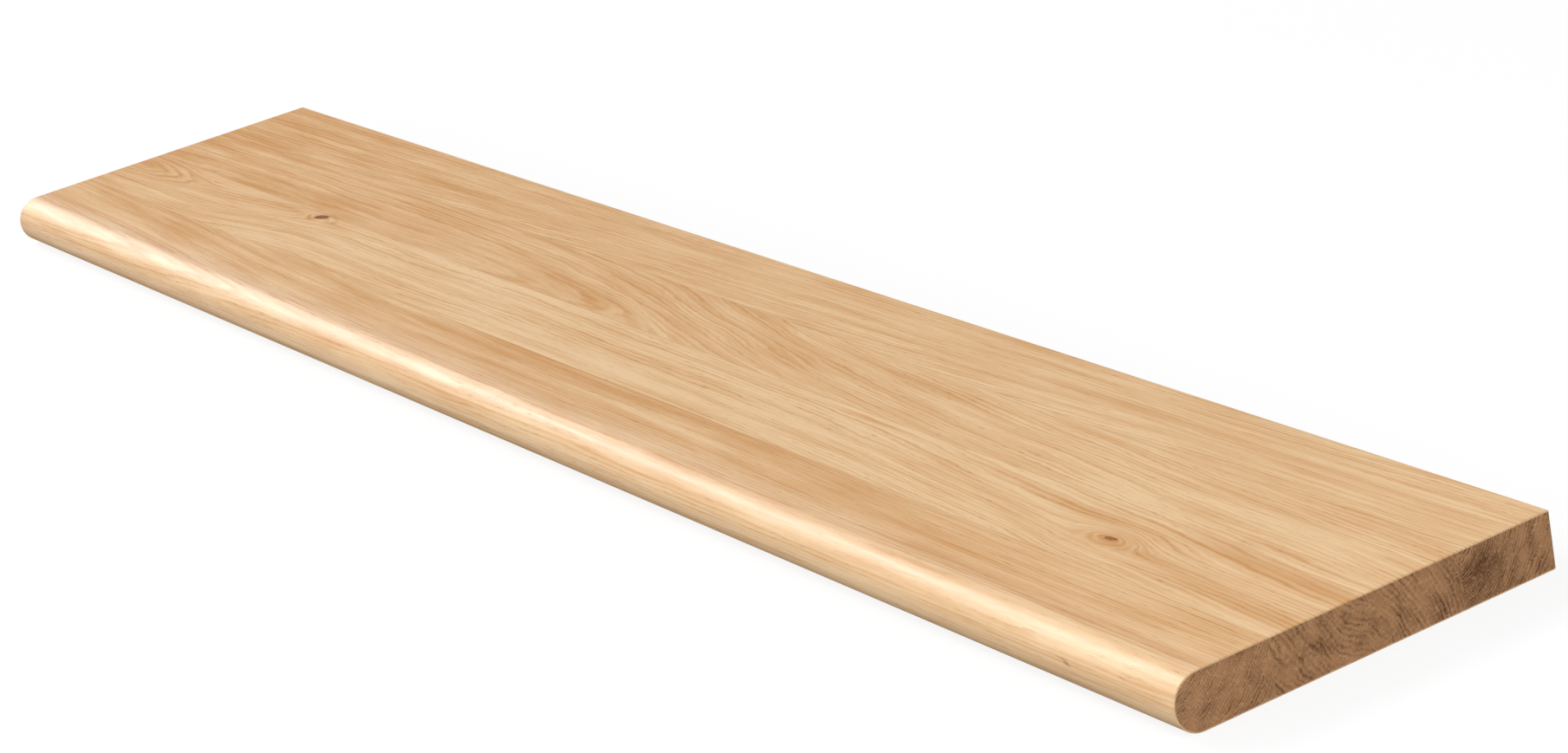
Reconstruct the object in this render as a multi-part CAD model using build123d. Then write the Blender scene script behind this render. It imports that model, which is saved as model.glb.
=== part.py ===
from build123d import *
import os

# Stair tread in edge-glued oak: full-length staves planed to one thickness,
# with a half-round nosing run along the front. Millimetres throughout.
# +X runs along the tread, the nosing faces -Y and the walking surface faces +Z.
# The origin is the centre of the underside.

# Driving dimensions
tread_length = 1500.0
tread_thickness = 35.0
stave_width = 65.0  # measured from glue line to glue line
back_arris = 1.0  # radius sanded on the two long edges at the back
end_arris = 0.6  # radius sanded round the outline of both sawn ends

# Staves from the front of the tread to the back
stave_names = ["nosing_stave", "second_stave", "third_stave", "back_stave"]

# Sizes that follow from the driving dimensions
tread_depth = stave_width * len(stave_names)
front = -tread_depth / 2
back = tread_depth / 2
nosing_radius = tread_thickness / 2  # a full half-round
cutter_overrun = 2.0  # how far the box that cuts out a stave passes the faces


def tread_section():
    """Cross-section of the tread, square at the back and half-round at the front."""
    with BuildSketch(Plane.YZ) as section:
        with BuildLine():
            underside = Line((front + nosing_radius, 0), (back, 0))
            back_edge = Line(underside @ 1, (back, tread_thickness))
            walking_surface = Line(back_edge @ 1, (front + nosing_radius, tread_thickness))
            ThreePointArc(walking_surface @ 1, (front, nosing_radius), underside @ 0)
        make_face()
    return section.sketch


def moulded_board():
    """The whole tread as it leaves the moulder, with its sharp edges eased."""
    board = extrude(tread_section(), amount=tread_length / 2, both=True)
    long_back_edges = board.edges().filter_by(Axis.X).group_by(Axis.Y)[-1]
    board = fillet(long_back_edges, back_arris)
    sawn_ends = board.faces().filter_by(Axis.X)
    return fillet(sawn_ends.edges(), end_arris)


def stave(board, number):
    """One stave of the board, counted from the front and cut out at its glue lines."""
    middle = front + (number + 0.5) * stave_width
    stock = Box(
        tread_length + cutter_overrun,
        stave_width,
        tread_thickness + cutter_overrun,
    )
    return board & Pos(0, middle, tread_thickness / 2) * stock


os.makedirs("parts", exist_ok=True)
board = moulded_board()
for number, name in enumerate(stave_names):
    export_step(stave(board, number), f"parts/{name}.step")
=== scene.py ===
# %% [markdown]
# # Dressing an oak stair tread
# The tread is one glued-up board of four oak staves, with a half-round nosing along its front
# edge. Its shape is already finished and arrives here as the frame. What is left is everything
# that makes it oak: growth rings that run along the face, round the nosing and out at the sawn
# end, two small knots and a pin knot, a lacquer that is matt on top and satin on the nosing, and
# a soft light that shows how round the nosing is.
#
# The first cell loads the frame. Nothing in this lesson moves or reshapes it.

# %% Load the tread
import math

import bpy
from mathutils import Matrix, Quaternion, Vector


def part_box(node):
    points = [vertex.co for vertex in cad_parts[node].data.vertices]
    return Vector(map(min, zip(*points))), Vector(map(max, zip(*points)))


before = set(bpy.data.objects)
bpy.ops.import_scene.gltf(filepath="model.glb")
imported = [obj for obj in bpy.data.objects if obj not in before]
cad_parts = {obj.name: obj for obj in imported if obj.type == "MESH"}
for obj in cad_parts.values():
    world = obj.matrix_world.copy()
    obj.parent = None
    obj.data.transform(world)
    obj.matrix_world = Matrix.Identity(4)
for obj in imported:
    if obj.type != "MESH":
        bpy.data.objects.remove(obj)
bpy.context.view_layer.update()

staves = ["nosing_stave", "second_stave", "third_stave", "back_stave"]
print("staves, from the front:", staves)

# %% [markdown]
# ## Sizes in millimetres
# A joiner thinks in millimetres from the left end and from the nosing, so that is how every
# place on the tread is given below. The few overall sizes are read from the frame.

# %% Read the tread's sizes
PER_METRE = 1000.0  # millimetres in a metre
_, back_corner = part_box("back_stave")
half_length = back_corner.x * PER_METRE
half_depth = back_corner.y * PER_METRE
thickness = back_corner.z * PER_METRE
glue_lines = [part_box(name)[1].y * PER_METRE + half_depth for name in staves[:-1]]
print(f"length {2 * half_length:.0f}, depth {2 * half_depth:.0f}, thickness {thickness:.0f}")
print("glue lines, from the nosing:", [round(line, 1) for line in glue_lines])

# %% [markdown]
# ## The camera
# The tread is seen from off its right-hand front corner, looking down along it with a long lens.
# The camera is also rolled a little, because the photo's long edges fall more steeply than a
# level camera would show them.
#
# A camera can be placed by its position, or by what it looks at. An aim point, two angles and a
# distance are easier to picture and to adjust, so they are used here.

# %% Place the camera
aim = Vector((0.1758, 0.0054, 0.035))  # the spot of the walking surface at the picture's middle
camera_azimuth = math.radians(60.62)  # round from the front towards the right end
camera_elevation = math.radians(19.55)
camera_roll = math.radians(10.76)
camera_distance = 2.7635
film_width = 36.0  # in millimetres, as is the focal length
focal_length = 100.4

towards_camera = Vector((
    math.sin(camera_azimuth) * math.cos(camera_elevation),
    -math.cos(camera_azimuth) * math.cos(camera_elevation),
    math.sin(camera_elevation),
))
camera = bpy.data.objects.new("camera", bpy.data.cameras.new("camera"))
camera.data.sensor_width = film_width
camera.data.lens = focal_length
camera.location = aim + towards_camera * camera_distance
camera.rotation_mode = "QUATERNION"
level_look = (-towards_camera).to_track_quat("-Z", "Y")
camera.rotation_quaternion = level_look @ Quaternion((0, 0, 1), -camera_roll)
bpy.context.scene.collection.objects.link(camera)
bpy.context.scene.camera = camera
print("camera at", [round(c, 3) for c in camera.location])

# %% [markdown]
# ## Arithmetic instead of wires
# A procedural material is a formula worked out at every point of the surface. Blender writes a
# formula as a chain of Math nodes, and a long chain is hard to read. The small class below lets
# us write `(side * side + depth * depth).root()`, and adds the nodes for us.

# %% A number the material knows at each point
class Measure:
    """A number or colour that the material works out at each point of the wood."""

    def __init__(self, socket):
        self.socket = socket
        self.tree = socket.id_data

    def work(self, operation, *others):
        node = self.tree.nodes.new("ShaderNodeMath")
        node.operation = operation
        for place, term in zip(node.inputs, (self, *others)):
            connect(term, place)
        return Measure(node.outputs[0])

    def __add__(self, other):
        return self.work("ADD", other)

    def __sub__(self, other):
        return self.work("SUBTRACT", other)

    def __mul__(self, other):
        return self.work("MULTIPLY", other)

    def __truediv__(self, other):
        return self.work("DIVIDE", other)

    def root(self):
        return self.work("SQRT")

    def size(self):
        return self.work("ABSOLUTE")

    def bell(self):
        """A hill that is 1 where this number is 0 and fades to nothing on both sides."""
        return (self * self * -1.0).work("EXPONENT")

    def rise(self, low, high):
        """0 up to low, 1 from high on, with a smooth slope, or a fall where low is greater."""
        node = self.tree.nodes.new("ShaderNodeMapRange")
        node.interpolation_type = "SMOOTHSTEP"
        connect(self, node.inputs["Value"])
        connect(low, node.inputs["From Min"])
        connect(high, node.inputs["From Max"])
        return Measure(node.outputs["Result"])


def connect(term, place):
    """Feeds a measure, or a plain number or colour, into a node's input."""
    if isinstance(term, Measure):
        term.tree.links.new(term.socket, place)
    else:
        place.default_value = term


print("a Measure can", [name for name in vars(Measure) if not name.startswith("_")])

# %% [markdown]
# ## Noise, curves and colours
# Four more helpers cover the rest of what wood needs. Noise gives the irregularity of anything that
# grew. A curve through a few given points says how something changes along the tread. One colour can be
# laid over another. Colours are given the way a screen shows them, 0 to 255, and turned into the linear
# values that Blender's shaders expect.

# %% Noise, curves and colours
def noise(x, y, z, detail=2.0, roughness=0.5):
    """Cloudy noise from about -0.5 to 0.5, whose clouds are one unit across in x, y and z."""
    tree = x.tree
    place = tree.nodes.new("ShaderNodeCombineXYZ")
    for slot, term in zip(place.inputs, (x, y, z)):
        connect(term, slot)
    cloud = tree.nodes.new("ShaderNodeTexNoise")
    cloud.inputs["Scale"].default_value = 1.0
    cloud.inputs["Detail"].default_value = detail
    cloud.inputs["Roughness"].default_value = roughness
    tree.links.new(place.outputs[0], cloud.inputs["Vector"])
    return Measure(cloud.outputs[0]) - 0.5


def follow(along, points):
    """A smooth curve through given (distance from the left end, value) points."""
    node = along.tree.nodes.new("ShaderNodeFloatCurve")
    values = [value for _, value in points]
    low, span = min(values), max(values) - min(values)
    track = node.mapping.curves[0]
    while len(track.points) < len(points):
        track.points.new(0.5, 0.5)
    for dot, (distance, value) in zip(track.points, points):
        dot.location = (distance / (2 * half_length), (value - low) / span)
    node.mapping.update()
    connect(along / (2 * half_length), node.inputs["Value"])
    return Measure(node.outputs[0]) * span + low


def lay_over(amount, under, over):
    """Lays one colour over another, by an amount from 0 to 1."""
    node = amount.tree.nodes.new("ShaderNodeMixRGB")
    for term, name in ((amount, "Fac"), (under, "Color1"), (over, "Color2")):
        connect(term, node.inputs[name])
    return Measure(node.outputs[0])


def colour(red, green, blue):
    """A screen colour, 0 to 255, as linear red, green, blue and alpha."""
    def linear(level):
        # These are the numbers of the standard curve for screens, which has a straight foot.
        share = level / 255
        return share / 12.92 if share <= 0.04045 else ((share + 0.055) / 1.055) ** 2.4
    return (linear(red), linear(green), linear(blue), 1.0)


print("mid grey in linear values:", [round(c, 3) for c in colour(128, 128, 128)])

# %% [markdown]
# ## Four trees
# Each stave was sawn from its own plank, so each has its own growth rings. A ring is a tube
# round the heart of the tree, and the saw cuts that nest of tubes at a slant. Where the heart
# runs close under the face, the cut shows arches. Where it lies off to one side, the face shows
# straight lines. The sawn end shows the same rings as arcs, and they have to meet the lines.
#
# So instead of drawing lines, we say where each stave's heart runs. `side` is how far it is
# behind the nosing and `depth` is how far it is below the walking surface, both at a few places
# along the stave. A negative depth puts the heart above the face. `ring` is the width of a ring,
# `ripple` is the length of its ripples, and `tawny` is how dark the plank is along its length.
#
# Streaks are oval. Each has a place on the walking surface, a half-length and half-width, and
# how much darker the wood is there, or paler where that is negative.
#
# The nosing stave comes first. Its rings are the narrowest and turn down over the rounded front.
# Its ripples are long, because short ones look blotchy beside the highlight. The last of its streaks is
# painted light, not wood: it is longer than the tread and paints the whole front of the nosing a little
# paler, where the lamps fall on it.

# %% The nosing stave's tree
hearts = {}


def grow(name, heart):
    """Keeps where the heart of one stave's tree runs, and what is special about its plank."""
    hearts[name] = heart
    marks = [f"{len(heart[kind])} {kind}" for kind in ("swellings", "streaks")]
    print(name, "rings of", heart["ring"], "mm,", ", ".join(marks))


grow("nosing_stave", {
    "side": [(0, -16), (143, -20), (500, -36), (1000, -38), (1500, -40)],
    "depth": [(0, -58), (500, -60), (1500, -61)],
    "ring": 1.9,
    "ripple": 130,
    "tawny": [(0, 0.62), (400, 0.62), (1000, 0.62), (1500, 0.46)],
    "swellings": [],
    "streaks": [
        {"at": (110, 45), "reach": (110, 3), "tawny": 0.3},
        {"at": (60, 30), "reach": (70, 3), "tawny": 0.2},
        {"at": (705, 51), "reach": (40, 5), "tawny": 0.3},
        {"at": (820, 60), "reach": (190, 7), "tawny": 0.2},
        # painted light: paints the lamp-lit front of the nosing paler, not a streak in the wood
        {"at": (750, 2), "reach": (3000, 12), "tawny": -0.25},
    ],
})

# %% [markdown]
# ## The second stave
# The heart of this tree wanders sideways, and the lines on the face drift across the stave with
# it. The dark streaks are short, and most of them lie towards the right end.
#
# A trunk also swells here and there, and a saw that skims a swelling leaves nested loops in the
# figure. A swelling has a place, a half-length and half-width, and a lift. The lift is added to
# the distance from the heart, so a negative one pushes the rings out, and a positive one draws
# them in, as at a hollow. This plank has two hollows.
#
# It also has what joiners call cathedral arches, at its left end. They're half an oval, open to
# the left, with a few rings inside it. `outermost` is how far its rim lies from the heart.

# %% The second stave's tree
grow("second_stave", {
    "side": [(0, 160), (130, 161), (350, 184), (600, 186), (900, 184), (1200, 174), (1350, 165),
             (1500, 156)],
    "depth": [(0, -40), (500, -42), (900, -41), (1200, -38), (1350, -36), (1500, -34)],
    "ring": 3.1,
    "ripple": 40,
    "tawny": [(0, 0.66), (300, 0.42), (700, 0.3), (1500, 0.32)],
    "swellings": [
        {"at": (900, 66), "reach": (330, 20), "lift": 6},
        {"at": (1600, 88), "reach": (260, 20), "lift": 4},
    ],
    "arches": {"at": (-10, 110), "reach": (125, 19), "rings": 5, "outermost": 62},
    "streaks": [
        {"at": (10, 112), "reach": (26, 5), "tawny": 0.55},
        {"at": (255, 121), "reach": (26, 2.5), "tawny": 0.3},
        {"at": (333, 119), "reach": (22, 4), "tawny": 0.25},
        {"at": (1045, 124), "reach": (30, 2.5), "tawny": 0.6},
        {"at": (1275, 112), "reach": (50, 5), "tawny": 0.45},
        {"at": (1355, 92), "reach": (40, 4), "tawny": 0.4},
        {"at": (1450, 120), "reach": (110, 8), "tawny": 0.4},
        {"at": (1475, 84), "reach": (100, 9), "tawny": 0.45},
    ],
})

# %% [markdown]
# ## The third stave
# This is the only one of the four whose heart lies below the walking surface. Its arches are the
# longest on the tread, and the stave grows paler from left to right.

# %% The third stave's tree
grow("third_stave", {
    "side": [(0, 112), (500, 118), (640, 110), (800, 84), (1000, 56), (1250, 44), (1500, 38)],
    "depth": [(0, 60), (500, 62), (1000, 66), (1500, 78)],
    "ring": 2.9,
    "ripple": 40,
    "tawny": [(0, 0.76), (300, 0.66), (900, 0.5), (1200, 0.36), (1500, 0.3)],
    "swellings": [{"at": (1000, 128), "reach": (150, 20), "lift": -5}],
    "arches": {"at": (470, 138), "reach": (255, 23), "rings": 5, "outermost": 73},
    "streaks": [
        {"at": (15, 169), "reach": (48, 2.5), "tawny": 0.7},
        {"at": (262, 141), "reach": (40, 7), "tawny": 0.3},
    ],
})

# %% [markdown]
# ## The back stave
# Three large swellings fill this stave with long loops. The middles of the last two lie beyond
# the right end, so only their left parts show.

# %% The back stave's tree
grow("back_stave", {
    "side": [(0, 150), (500, 154), (1000, 160), (1500, 170)],
    "depth": [(0, -60), (640, -56), (1260, -50), (1500, -44)],
    "ring": 3.2,
    "ripple": 40,
    "tawny": [(0, 0.78), (400, 0.62), (800, 0.46), (1500, 0.38)],
    "swellings": [
        {"at": (950, 188), "reach": (640, 50), "lift": -24},
        {"at": (1800, 188), "reach": (760, 48), "lift": -20},
        {"at": (2150, 190), "reach": (800, 34), "lift": -10},
    ],
    "streaks": [
        {"at": (15, 196), "reach": (48, 2.5), "tawny": 0.6},
        {"at": (310, 220), "reach": (60, 4), "tawny": 0.3},
    ],
})

# %% [markdown]
# ## Knots
# A knot is a branch that the tree grew round. The grain swerves past it like water round a
# stone, closes up again behind it, and forms small rings of its own close by. A knot is given
# by its place, the half-length and half-width of its dark core, those of the tawny halo round
# it, the tilt of both, those of the eye that the swerving grain makes, how far the rings are
# bent inside the eye, and how strongly the core shows.
#
# There's also a pin knot on the nosing, no bigger than a grain of rice. It lies on an upright
# part of the wood, so its place is given along and up. `front` says between which distances
# behind the nosing it fades out.
#
# Ovals describe all of these. The helper measures how far a point is from an oval's middle, as 0
# there and 1 on its rim.

# %% The two knots and the pin knot
knots = [
    {"at": (296, 125), "core": (7.0, 3.4), "halo": (22, 6), "tilt": 22,
     "eye": (46, 13), "lift": 7.0, "dark": 1.0},
    {"at": (1322, 97), "core": (4.6, 2.0), "halo": (30, 11), "tilt": 8,
     "eye": (42, 17), "lift": 14.0, "dark": 0.8},
]
pin_knot = {"at": (1407, 20), "core": (3.2, 1.0), "tilt": -20, "front": (16.0, 8.0), "dark": 0.55}
eye_tilt = 1 / 3  # the eye is tilted by this share of its knot's tilt


def oval(along, across, place, reach, tilt=0.0):
    """Distance from a place, as a share of an oval with the given half-sizes and tilt."""
    east = along - place[0]
    north = across - place[1]
    turn = math.radians(tilt)
    lengthways = (east * math.cos(turn) + north * math.sin(turn)) / reach[0]
    crossways = (north * math.cos(turn) - east * math.sin(turn)) / reach[1]
    return (lengthways * lengthways + crossways * crossways).root()


def eye_oval(along, across, knot):
    """The oval in which the grain swerves round a knot."""
    return oval(along, across, knot["at"], knot["eye"], knot["tilt"] * eye_tilt)


print(len(knots), "knots and a pin knot")

# %% [markdown]
# ## Cathedral arches
# Arches show where the saw ran along the crest of a bow in the trunk. A sharp bend in the heart's line
# would make them too, but it's hard to steer. So they are given directly. Inside a half oval, a point's
# share of the oval is turned into a distance from the heart, which takes the place of the real one.

# %% Bend the rings into arches
arch_edge = (1.2, 0.85)  # the arches fade out between these shares of the oval
arch_approach = 160.0  # how far to the left of the oval the arches have faded away


def bow_out(out, along, across, arches, ring):
    """Bends the rings into nested arches that are open to the left."""
    start, middle = arches["at"]
    ahead = (along - start).work("MAXIMUM", 0.0) / arches["reach"][0]
    aside = (across - middle) / arches["reach"][1]
    arch = (ahead * ahead + aside * aside).root()
    inside = arch.rise(*arch_edge) * along.rise(start - arch_approach, start)
    nest = arches["rings"] * ring
    return out + (arch * nest - out + (arches["outermost"] - nest)) * inside


print("arches on", [name for name in staves if "arches" in hearts[name]])

# %% [markdown]
# ## Finding each point in its tree
# This is the heart of the material. Every point of the stave is measured three ways: how far it
# is along the trunk, how far out from the heart, and how far round it. Anything drawn with
# those three measures follows the wood wherever the saw has cut it.
#
# Trees aren't turned on a lathe, so slow noise makes the rings sway, and quicker noise gives
# them a ripple. At a knot the grain is parted, and then the rings are bent. Swellings and knots
# fade with depth, because they were placed on the walking surface.

# %% Measure along, out from and round the trunk
parting = 0.85  # how far the grain moves aside at a knot, where 1 leaves no grain in the middle
sway_length, sway_width = 230, 30
sway_aside, sway_deep = 8.0, 4.0
ripple_width, ripple_height = 7, 4.0
fading_depth = 40.0  # how far below the walking surface swellings and knots are down to a third
bend_reach = 0.55  # the share of a knot's eye in which the rings are bent
usual_radius = 80.0  # about how far off a heart is, which turns an angle into millimetres
seed_step = 40.0  # how far apart in the noise two staves lie, so that they differ


def in_the_tree(tree, name):
    """Along the trunk, out from its heart and round it, in millimetres, with the plain place."""
    corner = tree.nodes.new("ShaderNodeSeparateXYZ")
    tree.links.new(tree.nodes.new("ShaderNodeTexCoord").outputs["Object"], corner.inputs[0])
    x, y, z = (Measure(socket) for socket in corner.outputs)
    along = x * PER_METRE + half_length
    across = y * PER_METRE + half_depth
    up = z * PER_METRE
    seed = seed_step * staves.index(name)
    heart = hearts[name]

    parted = across
    for knot in knots:
        swerve = eye_oval(along, across, knot).bell()
        parted = parted - (across - knot["at"][1]) * swerve * parting
    sway = noise(along / sway_length, across / sway_width, up / sway_width + seed, detail=1.0)
    ripple = noise(along / heart["ripple"], across / ripple_width, up / ripple_width + seed,
                   detail=3.0, roughness=0.55)
    side = parted - follow(along, heart["side"]) + sway * sway_aside
    depth = up - thickness + follow(along, heart["depth"]) + sway * sway_deep
    out = (side * side + depth * depth).root()
    if "arches" in heart:
        out = bow_out(out, along, across, heart["arches"], heart["ring"])
    out = out + ripple * ripple_height

    near_top = ((up - thickness) / fading_depth).bell()
    for swelling in heart["swellings"]:
        reach = oval(along, across, swelling["at"], swelling["reach"])
        flat_topped = (reach * reach).bell()
        out = out + flat_topped * near_top * swelling["lift"]
    for knot in knots:
        bend = (eye_oval(along, across, knot) / bend_reach).bell()
        out = out + bend * near_top * knot["lift"]
    around = side.work("ARCTAN2", depth.size()) * usual_radius
    return {"along": along, "across": across, "up": up, "out": out, "around": around, "seed": seed}


print("swellings and knots fade over", fading_depth, "mm")

# %% [markdown]
# ## Spring lines
# Each spring, oak grows a row of open pores, which shows as a line. A line starts sharply and
# fades through the summer, and no two years are alike. So the distance from the heart is counted
# in rings: the whole number says which year it is and gives that year its own strength, and the
# fraction says where in the year we are.
#
# The face and the sawn end both show these lines, so both use this helper. The lines start more
# sharply on the end.

# %% Draw the line of each spring
year_step = 7.3  # how far apart in the noise two years lie, so that they differ
poorest_year = 0.2  # strength of the line in the poorest year


def spring_line(season, vigour, start, end):
    """The line of one spring, from how far through the year it is and how strong the year is."""
    return season.rise(*start) * season.rise(*end) * (vigour * (1 - poorest_year) + poorest_year)


print("lines are between", poorest_year, "and 1 strong")

# %% [markdown]
# ## The colour along the grain
# Planed oak is pale straw with tawny spring lines. Broader bands, fine fibres and slow clouds of colour
# go on top. Each is noise that is stretched a long way along the trunk. The streaks are laid on one by
# one, frayed by the fibres, and so is the tawny halo of each knot, in which the spring lines are
# darker.
#
# Last come the pores that can be seen singly, the short dark dashes that make oak look like oak.
# They are thickest in the spring lines.

# %% Colour of the long grain
pale_oak = colour(234, 199, 155)
tawny_oak = colour(203, 149, 92)
pore_brown = colour(160, 106, 58)
face_mix = {"spring": 0.38, "bands": 0.95, "fibres": 1.05, "clouds": 0.8}
paling = 0.15  # taken off every plank, to make up for what the lines add
streak_fray = 1.5
halo_mix = {"spring": 0.8, "plain": 0.35}
summer_pores = 0.3  # how strong the pores are between the spring lines
pore_strength = 0.5


def stretched_noise(spot, size, detail, roughness=0.5):
    """Noise with clouds of a size in millimetres, given out from the heart, round it and along."""
    out_size, around_size, along_size = size
    return noise(spot["out"] / out_size, spot["around"] / around_size,
                 spot["along"] / along_size + spot["seed"], detail, roughness)


def long_grain(spot, name):
    """The colour of a face that runs with the grain, with its spring lines and its pores."""
    along, out, around, seed = (spot[key] for key in ("along", "out", "around", "seed"))
    rings = out / hearts[name]["ring"]
    year = rings.work("FLOOR")
    season = rings.work("FRACT")
    vigour = noise(year * year_step, along / 240 + seed, around / 90, detail=1.0).rise(-0.16, 0.16)
    spring = spring_line(season, vigour, start=(0.0, 0.25), end=(0.8, 0.3))

    bands = stretched_noise(spot, (4, 200, 260), detail=2.0)
    fibres = stretched_noise(spot, (1.7, 3, 60), detail=3.0, roughness=0.65)
    clouds = stretched_noise(spot, (12, 20, 110), detail=1.0)
    tawny = follow(along, hearts[name]["tawny"]) - paling
    tawny = tawny + spring * face_mix["spring"] + bands * face_mix["bands"]
    tawny = tawny + fibres * face_mix["fibres"] + clouds * face_mix["clouds"]
    for streak in hearts[name]["streaks"]:
        reach = oval(along, spot["across"], streak["at"], streak["reach"]) + fibres * streak_fray
        tawny = tawny + reach.bell() * streak["tawny"]
    for knot in knots:
        reach = oval(along, spot["across"], knot["at"], knot["halo"], knot["tilt"]) + fibres
        tawny = tawny + reach.bell() * (spring * halo_mix["spring"] + halo_mix["plain"])

    pores = stretched_noise(spot, (0.7, 0.7, 11), detail=1.0).rise(0.08, 0.24)
    pores = pores * (spring * (1 - summer_pores) + summer_pores)
    face = lay_over(tawny.work("MAXIMUM", 0.0), pale_oak, tawny_oak)
    return lay_over(pores * pore_strength, face, pore_brown), spring, pores


print("pale oak in linear values:", [round(c, 3) for c in pale_oak])

# %% [markdown]
# ## The colour of the sawn end
# The saw has opened every pore on the end, so it drinks the finish and turns a matt brown. It
# shows the rings as arcs, with a dark line of open pores where each spring began and a pale one
# late in the year. Thin pale rays cross them, running out from the heart like spokes, and the
# wood is mottled in between.
#
# A few stains and pale patches are placed one by one. Their places say how far they are behind the
# nosing and above the underside. The pale ones have a negative `dark`.

# %% Colour of the end grain
end_brown = colour(182, 135, 95)
end_dark = colour(92, 56, 30)
end_pale = colour(216, 176, 130)
end_mix = {"spring": 0.45, "mottle": 1.5, "patches": 1.1, "plain": 0.25}
ray_strength = 0.32
late_strength = 0.25
ring_wobble = 1.2  # in rings
ray_wobble = 4.0
stains = [
    {"at": (210, 22), "reach": (15, 9), "dark": 0.5},
    {"at": (203, 9), "reach": (26, 12), "dark": 0.25},
    {"at": (100, 20), "reach": (12, 8), "dark": 0.22},
    {"at": (246, 24), "reach": (2.5, 12), "dark": 0.3},
    {"at": (116, 3), "reach": (5, 5), "dark": -0.4},
    {"at": (11, 7), "reach": (3, 6), "dark": -0.35},
]


def end_grain(spot, name):
    """The colour of the sawn end."""
    across, up, out, around, seed = (spot[key] for key in ("across", "up", "out", "around", "seed"))
    wobble = noise(out / 4, around / 5, seed, detail=3.0)
    rings = out / hearts[name]["ring"] + wobble * ring_wobble
    year = rings.work("FLOOR")
    season = rings.work("FRACT")
    vigour = noise(year * year_step, around / 14, seed, detail=2.0).rise(-0.14, 0.18)
    spring = spring_line(season, vigour, start=(0.02, 0.2), end=(0.7, 0.2))
    late = ((season - 0.85) / 0.12).bell() * vigour
    mottle = noise(across / 0.7, up / 0.7, seed, detail=3.0, roughness=0.75)
    patches = noise(out / 9, around / 12, seed, detail=2.0)
    rays = noise(around / 0.9 + wobble * ray_wobble, out / 5, seed, detail=2.0).rise(0.0, 0.18)

    shade = spring * end_mix["spring"] + mottle * end_mix["mottle"]
    shade = shade + patches * end_mix["patches"] + end_mix["plain"]
    for stain in stains:
        shade = shade + oval(across, up, stain["at"], stain["reach"]).bell() * stain["dark"]
    wood = lay_over(shade.rise(-0.1, 1.1), end_brown, end_dark)
    return lay_over(rays * ray_strength + late * late_strength, wood, end_pale)


print(len(stains), "stains and pale patches on the end")

# %% [markdown]
# ## The colour of a knot
# The core of a knot is the branch itself, cut across. It is a warm brown with a dark rim of
# bark, and it cracks as it dries. Noise frays its outline and opens the cracks.

# %% Colour of a knot's core
knot_brown = colour(160, 94, 38)
knot_dark = colour(92, 40, 6)
knot_fray = 0.9
rim_place, rim_width = 0.75, 0.3  # as shares of the core
core_edge = (1.4, 0.7)  # the core fades out between these shares
bark_strength = 0.9


def knot_over(face, spot, knot):
    """Lays one knot's core over the colour of the face."""
    along, across = spot["along"], spot["across"]
    reach = oval(along, across, knot["at"], knot["core"], knot["tilt"])
    grain = noise(along / 3.0, across / 1.2, spot["up"] / 3.0, detail=2.0)
    edge = reach + grain * knot_fray
    rim = ((edge - rim_place) / rim_width).bell()
    cracks = grain.rise(0.02, 0.1)
    core = lay_over(rim.work("MAXIMUM", cracks) * bark_strength, knot_brown, knot_dark)
    return lay_over(edge.rise(*core_edge) * knot["dark"], face, core)


print("cores of", [knot["core"] for knot in knots], "mm")

# %% [markdown]
# ## Where the bare end begins
# The ends were sawn and then rounded over a little at the edge. The lacquer runs over that edge and
# forms a narrow lip on the end, which keeps the finish and the pale colour of the faces instead of the
# brown of the end grain. That pale band is a painted highlight along the end's edge. Only the wood
# inside the lip is bare. At the front, the lip follows the half-round of the nosing.

# %% Tell the bare end from the faces
lip_highlight_width = 0.9  # how far the lacquer, and the highlight painted on it, run over the edge onto the sawn end
lip_highlight_softness = 0.4  # the share of its width by which it fades out early or late
face_stops, end_starts = 0.5, 0.3  # how far in from the end


def sawn_part(spot):
    """1 on the bare end grain, and 0 on the faces and on the lip of lacquer round the end, whose face
    colour there is a painted highlight.
    """
    radius = thickness / 2
    ahead = (spot["across"] * -1.0 + radius).work("MAXIMUM", 0.0)
    above = spot["up"] - radius
    inside = (ahead * ahead + above * above).root() * -1.0 + radius
    from_middle = (spot["along"] - half_length).size()
    past_arris = from_middle.rise(half_length - face_stops, half_length - end_starts)
    return past_arris * inside.rise(lip_highlight_width * (1 - lip_highlight_softness), lip_highlight_width * (1 + lip_highlight_softness))


# The lip's band of pale face colour is a painted highlight on the end's edge.
print("lip of lacquer", lip_highlight_width, "mm wide")

# %% [markdown]
# ## One stave's material
# All the pieces come together here. The knots' cores and the pin knot go over the long grain. A
# joint shows as a hair of darker glue between two staves. The sawn ends get the end colour.
#
# The lacquer is rubbed matt on the walking surface, so that feet don't slip, and left satin on
# the nosing, where it catches the lamps. It's thin and dull towards the underside, where nobody
# looks, and the bare end is dull too. Open pores and spring lines are pressed in a little, which
# breaks up the shine.

# %% Put one stave's material together
glue_brown = colour(140, 92, 52)
glue_width = 0.35
glue_strength = 0.25
satin_up = (8.0, 16.0)  # the satin begins between these heights
satin_back = (44.0, 16.0)  # and ends between these distances behind the nosing
matt_roughness = 0.8
satin_smoothing = 0.43
open_grain_roughness = 0.1
lacquer_gloss = 0.28
relief_depth = 0.0002  # in metres
relief_strength = 0.25
spring_relief = 0.4  # how deep the spring lines are, as a share of the pores


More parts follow.
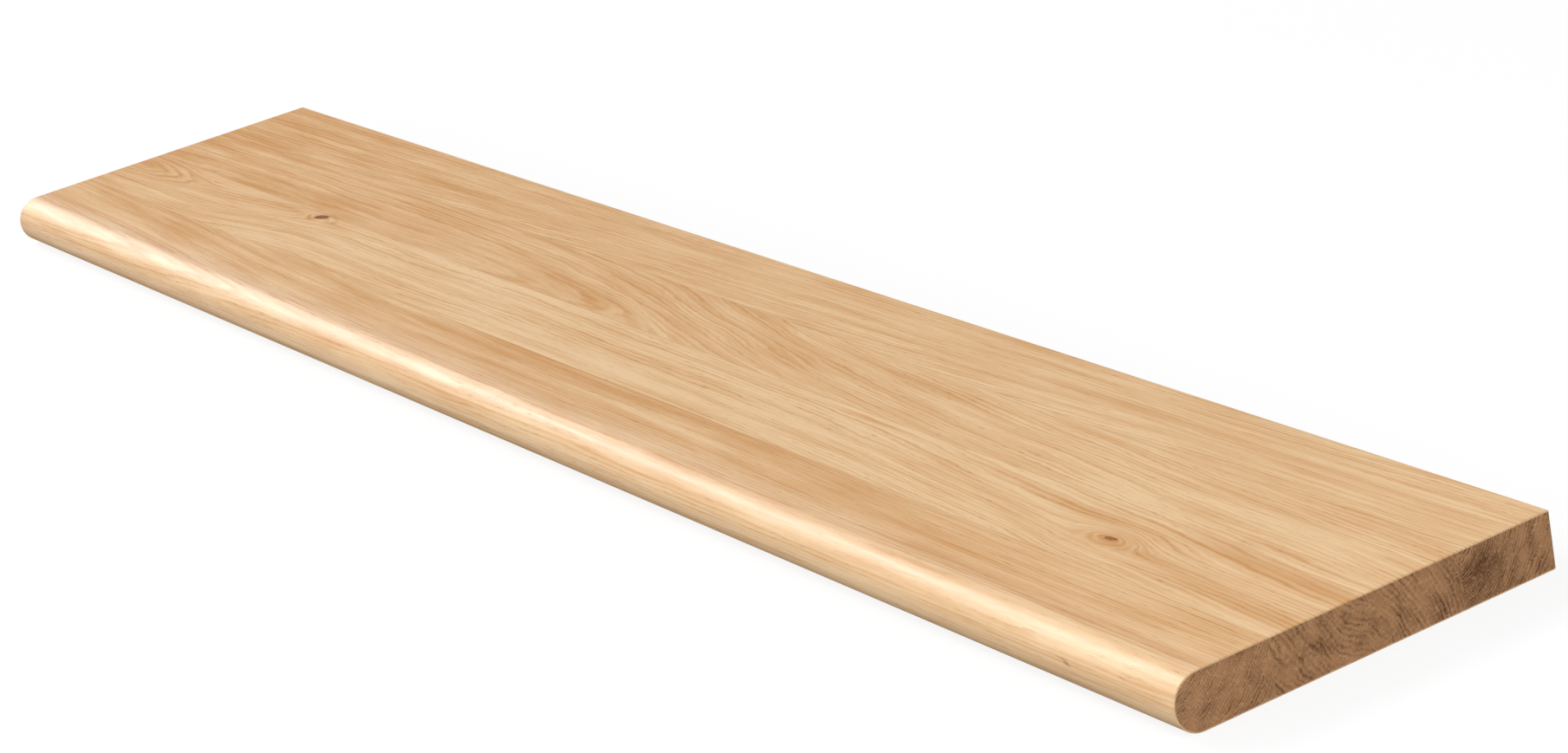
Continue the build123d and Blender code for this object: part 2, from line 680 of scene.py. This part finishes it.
def oak(name):
    """The material of one stave."""
    material = bpy.data.materials.new("oak_" + name)
    material.use_nodes = True
    tree = material.node_tree
    shader = tree.nodes["Principled BSDF"]
    spot = in_the_tree(tree, name)
    along, across, up = spot["along"], spot["across"], spot["up"]

    face, spring, pores = long_grain(spot, name)
    for knot in knots:
        face = knot_over(face, spot, knot)
    pin = oval(along, up, pin_knot["at"], pin_knot["core"], pin_knot["tilt"]).bell()
    face = lay_over(pin * across.rise(*pin_knot["front"]) * pin_knot["dark"], face, knot_dark)
    for line in glue_lines:
        face = lay_over(((across - line) / glue_width).bell() * glue_strength, face, glue_brown)
    sawn = sawn_part(spot)
    connect(lay_over(sawn, face, end_grain(spot, name)), shader.inputs["Base Color"])
    satin = up.rise(*satin_up) * across.rise(*satin_back)
    open_grain = sawn * open_grain_roughness + pores * open_grain_roughness
    connect(open_grain - satin * satin_smoothing + matt_roughness, shader.inputs["Roughness"])
    shader.inputs["Specular IOR Level"].default_value = lacquer_gloss

    relief = tree.nodes.new("ShaderNodeBump")
    relief.inputs["Distance"].default_value = relief_depth
    relief.inputs["Strength"].default_value = relief_strength
    connect(pores * -1.0 - spring * spring_relief, relief.inputs["Height"])
    tree.links.new(relief.outputs[0], shader.inputs["Normal"])
    print(material.name, len(tree.nodes), "nodes")
    return material


for name in staves:
    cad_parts[name].material_slots[0].material = oak(name)

# %% [markdown]
# ## The white room
# The tread lies in a white room. The camera and anything glossy see the room as plain white. The
# wood itself is lit by a dimmer version of it, which leaves room for the lamps to shape the
# nosing.

# %% The room
def see_as_white(tree):
    """1 for rays from the camera, and for those seen in gloss or through glass."""
    ray = tree.nodes.new("ShaderNodeLightPath")
    camera_ray, glossy_ray, clear_ray = (
        Measure(ray.outputs[kind]) for kind in ("Is Camera Ray", "Is Glossy Ray", "Is Transmission Ray")
    )
    return camera_ray.work("MAXIMUM", glossy_ray).work("MAXIMUM", clear_ray)


room_level = 0.28
room = bpy.data.worlds.new("white_room")
room.use_nodes = True
backdrop = room.node_tree.nodes["Background"]
backdrop.inputs["Color"].default_value = (1, 1, 1, 1)
connect(see_as_white(room.node_tree) * (1 - room_level) + room_level, backdrop.inputs["Strength"])
bpy.context.scene.world = room
print("the room lights the wood at", room_level, "of white")

# %% [markdown]
# ## The floor
# A pale floor would throw its own light up at the tread. This one is really grey, which takes
# the tread's shadow well and throws up little. A glow that only the camera and gloss can see
# makes it look white.

# %% The floor
floor_reach = 8.0  # metres
corners = [(side_x * floor_reach, side_y * floor_reach, 0)
           for side_x, side_y in ((-1, -1), (1, -1), (1, 1), (-1, 1))]
floor_mesh = bpy.data.meshes.new("floor")
floor_mesh.from_pydata(corners, [], [(0, 1, 2, 3)])
floor = bpy.data.objects.new("floor", floor_mesh)
bpy.context.scene.collection.objects.link(floor)

floor_grey = 0.17
floor_glow = 0.85
paper = bpy.data.materials.new("paper")
paper.use_nodes = True
tree = paper.node_tree
matt = tree.nodes["Principled BSDF"]
matt.inputs["Base Color"].default_value = (floor_grey, floor_grey, floor_grey, 1)
matt.inputs["Roughness"].default_value = 1.0
matt.inputs["Specular IOR Level"].default_value = 0.0
matt.inputs["Emission Color"].default_value = (1, 1, 1, 1)
connect(see_as_white(tree) * floor_glow, matt.inputs["Emission Strength"])
floor_mesh.materials.append(paper)
print("floor", 2 * floor_reach, "m square")

# %% [markdown]
# ## The lamps
# Softboxes are large flat lamps. Their brightness is given here as a share of paper white, the
# way the room's is. The area and the factor of pi turn it into the watts that Blender asks for.
#
# One lamp lights the sawn end and one the front. The other two are for the highlight. They stand
# far off beyond the left end, where the round of the nosing mirrors them to the camera.

# %% Hang the softboxes
def softbox(name, place, target, width, height, brightness):
    """A rectangular lamp at a place, turned towards a target."""
    lamp = bpy.data.objects.new(name, bpy.data.lights.new(name, "AREA"))
    lamp.data.shape = "RECTANGLE"
    lamp.data.size = width
    lamp.data.size_y = height
    lamp.data.energy = brightness * math.pi * width * height
    lamp.location = place
    lamp.rotation_mode = "QUATERNION"
    lamp.rotation_quaternion = (Vector(target) - Vector(place)).to_track_quat("-Z", "Y")
    bpy.context.scene.collection.objects.link(lamp)
    print(name, "brightness", brightness)


softbox("end_light", place=(2.6, -0.3, 0.9), target=(0.7, 0, 0),
        width=1.4, height=1.4, brightness=4.5)
softbox("front_light", place=(0.2, -3.5, 1.1), target=(0, 0, 0),
        width=3.0, height=1.2, brightness=4.4)
softbox("nosing_light", place=(-7.3, -2.3, 5.8), target=(0, -0.13, 0),
        width=2.2, height=2.6, brightness=14.0)
softbox("nosing_fill", place=(-8.7, -3.4, 5.2), target=(0, -0.13, 0),
        width=13.0, height=3.4, brightness=5.8)

# %% [markdown]
# ## The view transform
# The render shows colours with the Standard view transform.

# %% Set the view transform
scene = bpy.context.scene
scene.view_settings.view_transform = "Standard"
